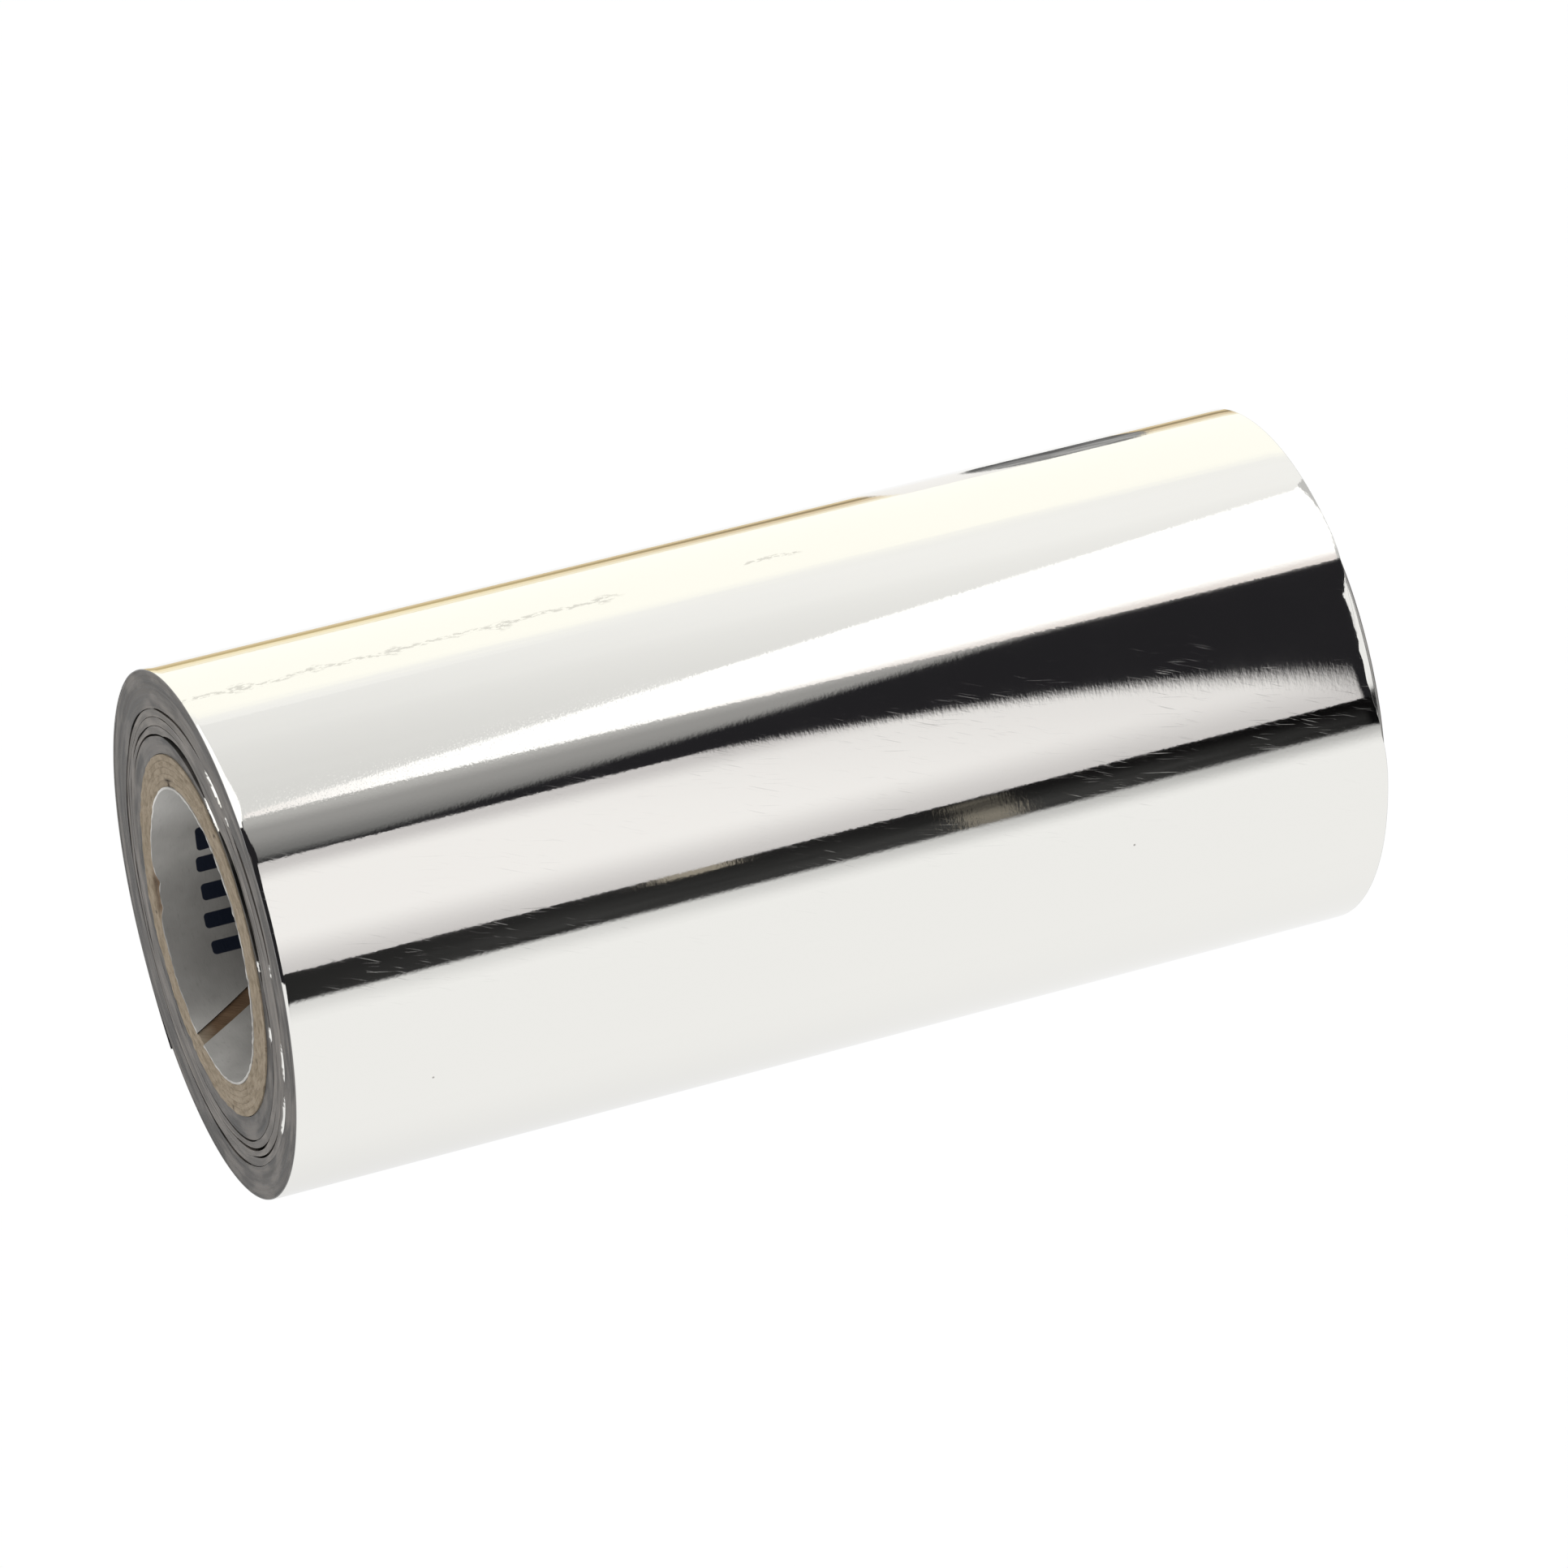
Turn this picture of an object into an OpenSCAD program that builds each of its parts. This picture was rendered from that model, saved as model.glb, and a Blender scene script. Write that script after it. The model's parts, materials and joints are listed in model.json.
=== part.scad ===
// A roll of metallised film wound on a spiral paperboard core.
// The roll lies on its side: +X is the roll's axis, +Z is up, and the origin is the
// centre of the bore, halfway along the roll. Millimetres. Angles run from +Y towards +Z.

/* [Roll] */
// Width of the film, which is also the core's length
film_width = 100; // [60:1:200]
// Outer diameter of the wound roll
roll_d = 46.2; // [45:0.1:60]

/* [Core] */
// Bore of the core, for a 1 inch spindle
bore_d = 25.4; // [24:0.1:26]
// Outer diameter of the core
core_d = 31.4; // [30:0.1:31.6]
// Thickness of the white paper liner
liner_t = 0.2; // [0.1:0.05:0.4]
// Number of board plies outside the liner
plies = 5; // [2:1:7]
// Glue line between two plies
glue_t = 0.05; // [0.03:0.01:0.08]
// Length of core in which each ply's seam makes one turn
seam_lead = 139; // [100:1:300]
// Open gap between the edges of the liner strip, measured round the bore
liner_gap = 1.5; // [0.5:0.1:3]
// Open gap between the edges of a board strip, measured round the ply
ply_gap = 0.4; // [0.2:0.1:1]

/* [Film] */
// Thickness at which the outermost turn and the free end are modelled
film_t = 0.1; // [0.08:0.01:0.2]
// Air between the outermost turn and what lies under or over it
film_gap = 0.06; // [0.04:0.01:0.1]
// Number of groups that the loosely wound turns fall into
loose_groups = 3; // [1:1:4]
// Width of the adhesive strip that holds the film's first turn on the core
starter_w = 12; // [6:1:20]
// Thickness of that strip
starter_t = 0.1; // [0.05:0.01:0.15]

/* [Free end] */
// Angle at which the free end leaves the roll
tail_start = 34; // [20:1:60]
// Stiff lengths that the free end is divided into
tail_parts = 4; // [2:1:5]
// Arc of each length
tail_arc = 24; // [12:6:24]
// Height to which the free edge curls off the roll
tail_lift = 0.3; // [0:0.05:0.6]

/* [Hidden] */
$fn = 96;

bore_r = bore_d / 2;
core_r = core_d / 2;
roll_r = roll_d / 2;
margin = 1; // how far a cutter runs past what it cuts

// Core: the liner, then the board plies in what is left of the wall
ply_r0 = bore_r + liner_t;
ply_t = (core_r - ply_r0) / plies - glue_t;
seam_rate = 360 / seam_lead;
liner_seam = 278; // angle of the liner's seam at the left end
ply_seam = 58; // angle of the first board ply's seam at the left end
ply_stagger = 137; // each ply's seam is turned this far from the last
seam_step = 2; // spacing of the seam cutter's sections along the core

// Film: the outer spiral climbs one modelled layer a turn
layer = film_t + film_gap;
facet = 6; // angle between the corners of a wound outline
tail_joint = 0.04; // gap between two lengths of the free end
lift_arc = 22; // arc over which the free edge lifts
wound_bore = core_r + 0.05;
starter_angle = 250;
tight_r = (roll_r - layer - film_t) * cos(facet / 2) - 0.04;
loose_inner = core_r + 0.235 * (roll_r - core_r - 1);
loose_outer = core_r + 0.645 * (roll_r - core_r - 1);

// Openings between neighbouring groups of turns, from the inside out:
// [boundary, from angle, to angle, width]
slits = [
    [0, 12, 66, 0.3], [0, 95, 113, 0.3], [0, 150, 190, 0.2], [0, 228, 258, 0.2],
    [1, 20, 48, 0.2], [1, 214, 250, 0.25], [2, 205, 236, 0.2], [2, 318, 345, 0.15],
    [3, 42, 90, 0.2], [3, 93, 113, 0.35], [3, 169, 184, 0.35], [3, 186, 203, 0.35]
];

// Turns a shape drawn in X and Y and raised along Z so that it lies along the roll's axis
module along_roll() {
    rotate([90, 0, 90])
        children();
}

module tube(inner_r, outer_r) {
    along_roll()
        difference() {
            cylinder(r = outer_r, h = film_width, center = true);
            cylinder(r = inner_r, h = film_width + 2 * margin, center = true);
        }
}

function on_circle(r, a) = [r * cos(a), r * sin(a)];

// A bar that winds round the axis through a tube wall, along the open seam of a strip
module seam_cutter(inner_r, outer_r, start, gap) {
    reach = film_width / 2 + margin;
    sections = ceil(2 * reach / seam_step);
    half = gap / (inner_r + outer_r) * 180 / PI;
    low = inner_r - 0.3;
    high = outer_r + 0.3;
    points = [
        for (i = [0:sections])
            let (x = -reach + 2 * reach * i / sections)
            let (a = start + seam_rate * (x + film_width / 2))
            for (c = [[low, -half], [high, -half], [high, half], [low, half]])
                [x, c[0] * cos(a + c[1]), c[0] * sin(a + c[1])]
    ];
    sides = [
        for (i = [0:sections - 1], k = [0:3])
            let (p = 4 * i + k, q = 4 * i + (k + 1) % 4)
            each [[p, q + 4, q], [p, p + 4, q + 4]]
    ];
    last = 4 * sections;
    caps = [[0, 1, 2, 3], [last + 3, last + 2, last + 1, last]];
    polyhedron(points = points, faces = concat(sides, caps), convexity = 10);
}

// One strip of the core, wound round it with its edges a gap apart
module wound_strip(inner_r, outer_r, start, gap) {
    difference() {
        tube(inner_r, outer_r);
        seam_cutter(inner_r, outer_r, start, gap);
    }
}

// Corner angles of a closed outline
corners = [for (a = [0:facet:360 - facet]) a];

// Where one group of turns meets the next, from 0 inside the loose turns to loose_groups
// outside them. The turns sag off round and pull flat between about seven soft corners.
function sag_in(a) = 0.45 * cos(a - 300) + 0.45 * cos(2 * (a - 35));
function sag_out(a) = 0.25 * cos(a - 215);
function kink(a, k) = 0.15 * (abs(sin(3.5 * a + 40 * k)) - 0.6);
function meeting_r(k, a) =
    let (f = k / loose_groups)
    (1 - f) * (loose_inner + sag_in(a)) + f * (loose_outer + sag_out(a)) + kink(a, k);

function slit_width(k, a) = film_gap + sum_of([
    for (s = slits)
        if (s[0] == k && a > s[1] && a < s[2]) s[3] * sin(180 * (a - s[1]) / (s[2] - s[1]))
]);
function sum_of(list, i = 0) = i < len(list) ? list[i] + sum_of(list, i + 1) : 0;

// The outer and inner outlines of what lies on each side of a meeting
module inside_of_meeting(k) {
    polygon([for (a = corners) on_circle(meeting_r(k, a) - slit_width(k, a) / 2, a)]);
}
module outside_of_meeting(k) {
    polygon([for (a = corners) on_circle(meeting_r(k, a) + slit_width(k, a) / 2, a)]);
}

// The outermost spiral, by the angle wound since it began under the free end
function spiral_r(wound) = roll_r - layer * (1 - wound / 360);
tail_end = 360 + tail_parts * tail_arc;
function lift(wound) =
    let (f = max(0, (wound - tail_end + lift_arc) / lift_arc))
    tail_lift * f * f;
function skin_point(wound, depth) =
    on_circle(spiral_r(wound) + lift(wound) - depth, tail_start - wound);

// A length of the outermost spiral, as thick as the modelled film
module skin(from, to) {
    steps = round((to - from) / facet);
    stations = [for (i = [0:steps]) from + (to - from) * i / steps];
    outer = [for (w = stations) skin_point(w, 0)];
    inner = [for (i = [steps:-1:0]) skin_point(stations[i], film_t)];
    along_roll()
        linear_extrude(height = film_width, center = true)
            polygon(concat(outer, inner));
}

module core_liner() {
    color("whitesmoke")
        wound_strip(bore_r, ply_r0, liner_seam, liner_gap);
}

module board_ply(i) {
    inner = ply_r0 + glue_t + (i - 1) * (ply_t + glue_t);
    color("tan")
        wound_strip(inner, inner + ply_t, ply_seam + (i - 1) * ply_stagger, ply_gap);
}

// An arc of strip on the core, or the hollow that it fills in the first turns
module strip_arc(inner_r, outer_r, width, length) {
    arc = width / core_r * 180 / PI;
    along_roll()
        rotate_extrude(angle = arc, start = starter_angle - arc / 2)
            translate([inner_r, -length / 2])
                square([outer_r - inner_r, length]);
}

module starter_strip() {
    color("khaki")
        strip_arc(core_r + 0.02, core_r + 0.02 + starter_t, starter_w, film_width - 4);
}

module film_first_turns() {
    color("dimgray")
        difference() {
            along_roll()
                difference() {
                    linear_extrude(height = film_width, center = true)
                        inside_of_meeting(0);
                    cylinder(r = wound_bore, h = film_width + 2 * margin, center = true);
                }
            strip_arc(core_r, core_r + starter_t + 0.06, starter_w + 0.4, film_width - 3);
        }
}

module film_loose_turns(i) {
    color("slategray")
        along_roll()
            linear_extrude(height = film_width, center = true)
                difference() {
                    inside_of_meeting(i);
                    outside_of_meeting(i - 1);
                }
}

module film_tight_turns() {
    color("gray")
        along_roll()
            difference() {
                cylinder(r = tight_r, h = film_width, center = true);
                translate([0, 0, -film_width / 2 - margin])
                    linear_extrude(height = film_width + 2 * margin)
                        outside_of_meeting(loose_groups);
            }
}

module film_last_turn() {
    color("silver")
        skin(0, 360);
}

module film_tail(i) {
    joint_arc = tail_joint / roll_r * 180 / PI;
    from = 360 + (i - 1) * tail_arc + joint_arc;
    color("gainsboro")
        skin(from, 360 + i * tail_arc);
}

core_liner();
for (i = [1:plies])
    board_ply(i);
starter_strip();
film_first_turns();
for (i = [1:loose_groups])
    film_loose_turns(i);
film_tight_turns();
film_last_turn();
for (i = [1:tail_parts])
    film_tail(i);
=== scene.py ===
"""Looks for the roll of metallised film on its paperboard core.

Sizes are in millimetres until a mesh is made. Angles are in degrees in the YZ plane, from
+Y towards +Z, and x runs along the roll, whose left end is the one the camera sees.
"""

import json
import math

import bpy
import numpy as np
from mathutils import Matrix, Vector


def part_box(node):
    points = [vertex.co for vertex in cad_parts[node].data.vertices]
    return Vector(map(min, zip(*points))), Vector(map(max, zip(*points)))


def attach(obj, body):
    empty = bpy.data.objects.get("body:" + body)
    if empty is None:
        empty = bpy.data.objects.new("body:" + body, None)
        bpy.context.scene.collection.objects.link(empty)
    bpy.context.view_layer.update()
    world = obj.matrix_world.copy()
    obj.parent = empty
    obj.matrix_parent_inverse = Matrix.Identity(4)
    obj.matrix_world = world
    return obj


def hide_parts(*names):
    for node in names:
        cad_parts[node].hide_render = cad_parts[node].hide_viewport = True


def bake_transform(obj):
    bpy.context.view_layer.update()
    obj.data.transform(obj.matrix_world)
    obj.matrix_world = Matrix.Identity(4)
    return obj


MM = 0.001
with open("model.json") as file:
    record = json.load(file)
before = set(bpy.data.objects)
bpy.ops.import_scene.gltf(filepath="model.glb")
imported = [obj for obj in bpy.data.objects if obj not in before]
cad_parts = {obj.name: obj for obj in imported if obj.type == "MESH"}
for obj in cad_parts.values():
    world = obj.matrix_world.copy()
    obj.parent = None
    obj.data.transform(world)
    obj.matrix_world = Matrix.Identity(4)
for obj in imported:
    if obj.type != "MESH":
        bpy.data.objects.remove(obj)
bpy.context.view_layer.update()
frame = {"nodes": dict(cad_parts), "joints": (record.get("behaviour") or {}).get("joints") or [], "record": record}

# ---------------------------------------------------------------- sizes, from the frame


def reach(node):
    """How far a round CAD node stands from the roll's axis, in mm."""
    low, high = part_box(node)
    return max(abs(low.y), abs(low.z), high.y, high.z) / MM


mounts = {m["name"]: m for m in frame["record"]["mounts"]}
joints = [j for j in frame["joints"] if j["name"].startswith("peel_")]
first_bend = joints[0]["pos_m"]

BORE_R = mounts["core_bore"]["dims"]["r_mm"]
LINER_R = reach("core_liner")
CORE_R = reach("board_ply_5")
HALF_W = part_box("film_last_turn")[1].x / MM
ROLL_R = math.hypot(first_bend[1], first_bend[2]) / MM
TAIL_START = math.degrees(math.atan2(first_bend[2], first_bend[1]))
TAIL_ARC = joints[0]["range_deg"][1]
TAIL_PARTS = len(joints)
PLIES = 5
LOOSE_GROUPS = 3

# As in the CAD source
FILM_T = 0.1
FILM_GAP = 0.06
LAYER = FILM_T + FILM_GAP
LIFT_ARC = 22
SEAM_RATE = 360 / 139
LINER_SEAM = 278
LINER_GAP = 1.5
PLY_SEAM = 58
PLY_STAGGER = 137
LOOSE_INNER = CORE_R + 0.235 * (ROLL_R - CORE_R - 1)
LOOSE_OUTER = CORE_R + 0.645 * (ROLL_R - CORE_R - 1)

# The free edge curls this far off the roll, a little more than in the CAD source
TAIL_LIFT = 0.5
# Round outlines stay this far inside the CAD's, whose arcs are made of short straight sides
INSET = 0.015
# The film's edges lie this far inside the core's ends
FILM_HALF_W = HALF_W - 0.2

# Openings between neighbouring groups of turns, from the inside out. They run the whole
# width, and the flare is the left end's: (boundary, from angle, to angle, width, how far the
# inner group's rim is flared back)
SLITS = [
    (0, 12, 64, 0.15, 0.0), (0, 62, 99, 0.6, 0.0), (0, 98, 111, 0.25, 0.28),
    (0, 110, 158, 1.0, 0.0), (0, 151, 155, 0.1, 0.12), (0, 171, 176, 0.2, 0.2),
    (0, 160, 192, 0.2, 0.0), (0, 228, 278, 0.22, 0.0),
    (1, 20, 48, 0.15, 0.0), (1, 214, 250, 0.2, 0.0), (1, 120, 150, 0.12, 0.0),
    (2, 205, 236, 0.15, 0.0), (2, 318, 345, 0.12, 0.0), (2, 60, 84, 0.1, 0.0),
    (3, 22, 44, 0.12, 0.0), (3, 58, 98, 0.35, 0.0), (3, 98, 111, 0.32, 0.34),
    (3, 113, 116, 0.2, 0.2), (3, 116, 152, 0.7, 0.0), (3, 151, 154, 0.2, 0.2),
    (3, 154, 171, 0.2, 0.0), (3, 171, 182, 0.3, 0.34), (3, 187, 202, 0.3, 0.34),
    (3, 240, 280, 0.2, 0.0),
]


# ---------------------------------------------------------------- noise and mesh helpers


def noise(u, v, seed, period=0):
    """Smooth noise from -1 to 1 at points (u, v), a lump a unit, repeating in u if asked."""
    table = np.random.RandomState(seed).uniform(-1, 1, (257, 257))
    u, v = np.broadcast_arrays(np.asarray(u, float), np.asarray(v, float))
    i, j = np.floor(u).astype(int), np.floor(v).astype(int)
    fu, fv = u - i, v - j
    fu, fv = fu * fu * (3 - 2 * fu), fv * fv * (3 - 2 * fv)
    wrap = period or 257
    i0, i1, j0, j1 = i % wrap % 257, (i + 1) % wrap % 257, j % 257, (j + 1) % 257
    low = table[i0, j0] * (1 - fu) + table[i1, j0] * fu
    high = table[i0, j1] * (1 - fu) + table[i1, j1] * fu
    return low * (1 - fv) + high * fv


def round_noise(a, v, lumps, seed):
    """Noise round the roll that meets itself after a full turn."""
    return noise(np.asarray(a) % 360 / 360 * lumps, v, seed, period=lumps)


def hump(v, centre, half):
    """1 at the centre, falling smoothly to 0 at half either side."""
    t = np.clip(1 - np.abs(np.asarray(v) - centre) / half, 0, 1)
    return t * t * (3 - 2 * t)


def turn_from(a, start):
    """Angle a as degrees past start, from -180 to 180."""
    return (np.asarray(a) - start + 180) % 360 - 180


def piece(name, x, r, a, closed, attributes, sharp=35):
    """A closed profile swept round the roll: row i of x, r and a is the profile at a station.
    A sweep that isn't closed gets a flat cap at each end."""
    rows, cols = x.shape
    angle = np.radians(a)
    points = np.stack([x, r * np.cos(angle), r * np.sin(angle)], axis=-1).reshape(-1, 3) * MM
    i = np.arange(rows if closed else rows - 1)[:, None]
    j = np.arange(cols)[None, :]
    i2, j2 = (i + 1) % rows, (j + 1) % cols
    quads = np.stack([i * cols + j, i * cols + j2, i2 * cols + j2, i2 * cols + j], axis=-1)
    faces = [tuple(q) for q in quads.reshape(-1, 4)]
    if not closed:
        faces.append(tuple(range(cols))[::-1])
        faces.append(tuple(range((rows - 1) * cols, rows * cols)))
    mesh = bpy.data.meshes.new(name)
    mesh.from_pydata(points, [], faces)
    for label, values in attributes.items():
        kind, field = ("FLOAT", "value") if values.ndim == 2 else ("FLOAT_VECTOR", "vector")
        layer = mesh.attributes.new(label, kind, "POINT")
        layer.data.foreach_set(field, np.ascontiguousarray(values, np.float32).ravel())
    mesh.validate()
    mesh.shade_smooth()
    mesh.set_sharp_from_angle(angle=math.radians(sharp))
    obj = bpy.data.objects.new(name, mesh)
    bpy.context.scene.collection.objects.link(obj)
    if volume_sign(mesh) < 0:
        mesh.flip_normals()
    return obj


def volume_sign(mesh):
    """The sign of the mesh's volume, which is positive if its faces look outwards."""
    mesh.calc_loop_triangles()
    co = np.array([v.co for v in mesh.vertices], float)
    tri = np.array([t.vertices for t in mesh.loop_triangles])
    return np.sign(np.einsum("ij,ij->i", co[tri[:, 0]], np.cross(co[tri[:, 1]], co[tri[:, 2]])).sum())


# ---------------------------------------------------------------- material helpers


class Paint:
    """A node material around one Principled shader. Values that vary are linked to it."""

    def __init__(self, name, fixed=()):
        self.material = bpy.data.materials.new(name)
        self.material.use_nodes = True
        self.tree = self.material.node_tree
        self.shader = self.tree.nodes["Principled BSDF"]
        for socket, value in dict(fixed).items():
            self.feed(self.shader.inputs[socket], value)

    def feed(self, socket, value):
        if isinstance(value, bpy.types.NodeSocket):
            self.tree.links.new(value, socket)
        else:
            socket.default_value = value

    def node(self, kind, inputs, **settings):
        made = self.tree.nodes.new("ShaderNode" + kind)
        for key, value in settings.items():
            setattr(made, key, value)
        for key, value in inputs.items():
            self.feed(made.inputs[key], value)
        return made

    def math(self, operation, *values):
        return self.node("Math", dict(enumerate(values)), operation=operation).outputs[0]

    def times(self, a, b):
        return self.math("MULTIPLY", a, b)

    def attribute(self, name, output="Vector"):
        return self.node("Attribute", {}, attribute_name=name).outputs[output]

    def split(self, vector):
        return self.node("SeparateXYZ", {"Vector": vector}).outputs

    def stretched(self, vector, scale, turned=0):
        """The coordinates turned about their third axis and then scaled."""
        turn = self.node("VectorRotate", {"Vector": vector, "Angle": math.radians(turned)},
                         rotation_type="Z_AXIS")
        return self.node("VectorMath", {0: turn.outputs[0], 1: scale}, operation="MULTIPLY").outputs[0]

    def noise(self, vector, scale=1.0, detail=2.0, roughness=0.5):
        return self.node("TexNoise", {"Vector": vector, "Scale": scale, "Detail": detail,
                                      "Roughness": roughness}).outputs["Fac"]

    def between(self, value, low, high, to_low=0.0, to_high=1.0):
        """value mapped smoothly from low..high to to_low..to_high, and held outside it."""
        inputs = {"Value": value, "From Min": low, "From Max": high,
                  "To Min": to_low, "To Max": to_high}
        return self.node("MapRange", inputs, interpolation_type="SMOOTHSTEP").outputs[0]

    def band(self, value, low, high, soft):
        """1 from low to high, fading to 0 over soft on each side."""
        rise = self.between(value, low - soft, low)
        fall = self.between(value, high, high + soft, 1.0, 0.0)
        return self.times(rise, fall)

    def mix(self, factor, a, b):
        colours = [c if isinstance(c, bpy.types.NodeSocket) else (*c, 1.0) for c in (a, b)]
        made = self.node("Mix", {0: factor, 6: colours[0], 7: colours[1]}, data_type="RGBA")
        return made.outputs[2]

    def bump(self, height):
        """Height in mm becomes the shader's surface relief."""
        made = self.node("Bump", {"Height": height, "Distance": MM, "Strength": 1.0})
        self.feed(self.shader.inputs["Normal"], made.outputs[0])

    def colour(self, value):
        self.feed(self.shader.inputs["Base Color"], value)

    def set(self, socket, value):
        self.feed(self.shader.inputs[socket], value)


# ---------------------------------------------------------------- materials

FILM_COLOUR = (0.84, 0.832, 0.8)


def mirror_film_material():
    """Metallised film: a clean mirror with faint relief, hairlines, scuffs and a frosted patch.
    The attribute film holds mm along the roll and mm along the web, and rim marks cut edges."""
    p = Paint("mirror_film")
    film = p.attribute("film")
    rim = p.attribute("rim", "Fac")
    along, web, _ = p.split(film)
    peel = p.noise(film, 3.2, 2.0)
    bristle = p.noise(p.stretched(film, (4.5, 1.6, 1.0)), 1.0, 2.0)
    nap = p.noise(p.stretched(film, (1.9, 0.16, 1.0)), 1.0, 2.0)
    line = math.radians(1) * ROLL_R  # mm of web in a degree of the outermost turn

    def web_at(angle):
        return (360 + TAIL_START - angle) * line

    hairs = p.math("MAXIMUM",
                   p.between(p.noise(p.stretched(film, (0.3, 9.0, 1.0), 24), 1.0, 1.0), 0.64, 0.74),
                   p.between(p.noise(p.stretched(film, (0.2, 12.0, 1.0), 12), 1.0, 1.0), 0.66, 0.76))
    hairs = p.times(hairs, p.between(p.noise(film, 0.12, 2.0), 0.35, 0.6))
    hairs = p.times(hairs, p.band(web, web_at(172), web_at(143), 10))
    broken = p.between(p.noise(p.stretched(film, (1.6, 3.2, 1.0)), 1.0, 3.0), 0.42, 0.56)
    wander = p.math("MULTIPLY_ADD", p.noise(p.stretched(film, (0.2, 0.0, 1.0)), 1.0, 4.0, 0.6), 2.2, -1.1)
    off_line = p.math("ABSOLUTE", p.math("ADD", p.math("SUBTRACT", web, web_at(84.2)), wander))
    scuff_part = p.math("MAXIMUM", p.band(along, 1, 38, 2), p.band(along, 51, 55, 1))
    swelling = p.between(p.noise(p.stretched(film, (0.3, 0.0, 1.0)), 1.0, 1.0), 0.5, 0.65, 1.0, 2.6)
    off_line = p.math("DIVIDE", off_line, swelling)
    scuffs = p.times(p.times(p.between(off_line, 0.08, 0.36, 1.0, 0.0), scuff_part), broken)
    frost_part = p.times(p.band(web, web_at(116), web_at(106), 3), p.band(along, 3, 36, 8))
    frost = p.times(p.between(p.noise(film, 6.0, 2.0), 0.5, 0.75), frost_part)
    specks = p.between(p.node("TexVoronoi", {"Vector": film, "Scale": 0.11}).outputs["Distance"],
                       0.01, 0.016, 1.0, 0.0)
    worn = p.math("MAXIMUM", p.times(scuffs, 0.42), p.times(specks, 0.8))
    clean = p.mix(worn, FILM_COLOUR, (0.3, 0.29, 0.27))
    p.colour(p.mix(rim, clean, (0.15, 0.145, 0.142)))
    p.set("Metallic", p.math("MULTIPLY_ADD", rim, -0.65, 1.0))
    rough = p.math("MULTIPLY_ADD", hairs, 0.22, p.times(frost, 0.16))
    rough = p.math("MULTIPLY_ADD", scuffs, 0.25, rough)
    rough = p.math("ADD", rough, p.between(p.noise(film, 0.15, 3.0), 0.3, 0.7, 0.03, 0.05))
    p.set("Roughness", p.math("MULTIPLY_ADD", rim, 0.4, rough))
    height = p.math("MULTIPLY_ADD", peel, 0.0012, p.times(bristle, 0.0006))
    height = p.math("MULTIPLY_ADD", frost, 0.0008, height)
    height = p.math("MULTIPLY_ADD", nap, 0.0011, height)
    p.bump(height)
    return p.material


def wound_film_material():
    """The cut edges of hundreds of turns. The attribute grain follows the turns, in mm across
    them and shrunken mm along them; shade lifts or lowers a group; flare marks bare mirror film
    and gap the inside walls of an opening, painted near black for the shade in it."""
    p = Paint("wound_film")
    grain = p.attribute("grain")
    flare = p.attribute("flare", "Fac")
    gap = p.attribute("gap", "Fac")
    shade = p.attribute("shade", "Fac")
    fine = p.noise(p.stretched(grain, (0.5, 0.5, 9.0)), 1.0, 4.0, 0.7)
    coarse = p.noise(p.stretched(grain, (1.0, 1.0, 2.2)), 1.0, 2.0)
    patches = p.noise(p.stretched(grain, (2.2, 2.2, 0.9)), 1.0, 3.0)
    tone = p.times(p.between(coarse, 0.3, 0.7), 0.25)
    tone = p.math("MULTIPLY_ADD", p.between(fine, 0.3, 0.72), 0.3, tone)
    tone = p.math("ADD", tone, p.times(p.between(patches, 0.42, 0.64), 0.4))
    tone = p.math("ADD", tone, shade)
    lit = p.mix(tone, (0.006, 0.005, 0.004), (0.175, 0.156, 0.138))
    # Painted shade: the inside walls of the openings are painted near black for the shade in them.
    lit = p.mix(gap, lit, (0.008, 0.008, 0.008))
    p.colour(p.mix(flare, lit, FILM_COLOUR))
    p.set("Metallic", p.math("MULTIPLY_ADD", flare, 0.75, 0.25))
    p.set("Roughness", p.math("MULTIPLY_ADD", flare, -0.36, p.between(fine, 0.3, 0.7, 0.42, 0.55)))
    solid = p.math("SUBTRACT", 1.0, flare)
    p.bump(p.times(solid, p.math("MULTIPLY_ADD", fine, 0.05, p.times(coarse, 0.05))))
    return p.material


def core_board_material():
    """Grey-brown paperboard: matted fibres, darker flecks and a little fuzz. The attribute
    board holds mm that follow each ply's plane, kraft marks the brown sheet that faces the bore
    and the torn fibres, and a last attribute is painted shade, near black in open seams, where
    a ply's edge lifts at its seam and in the torn nick."""
    p = Paint("core_board", {"Specular IOR Level": 0.2})
    board = p.attribute("board")
    soot = p.attribute("soot", "Fac")
    mottle = p.noise(board, 0.7, 4.0, 0.6)
    fibres = p.noise(p.stretched(board, (1.2, 1.2, 5.0)), 1.0, 4.0, 0.7)
    flecks = p.between(p.noise(p.stretched(board, (2.5, 2.5, 4.0)), 1.0, 2.0), 0.66, 0.74)
    base = p.mix(p.between(mottle, 0.3, 0.7), (0.19, 0.15, 0.1), (0.33, 0.27, 0.2))
    base = p.mix(p.between(fibres, 0.3, 0.75, 0.0, 0.6), base, (0.37, 0.31, 0.23))
    base = p.mix(p.times(flecks, 0.5), base, (0.13, 0.095, 0.065))
    kraft = p.mix(p.between(mottle, 0.3, 0.7), (0.12, 0.072, 0.04), (0.19, 0.12, 0.07))
    base = p.mix(p.attribute("kraft", "Fac"), base, kraft)
    # Painted shade: near black in the open seams, where the first ply's edge lifts at its seam and in the torn
    # nick.
    p.colour(p.mix(soot, base, (0.03, 0.02, 0.014)))
    p.set("Roughness", p.between(fibres, 0.2, 0.8, 0.8, 0.95))
    p.bump(p.math("MULTIPLY_ADD", fibres, 0.14, p.times(mottle, 0.1)))
    return p.material


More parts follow.
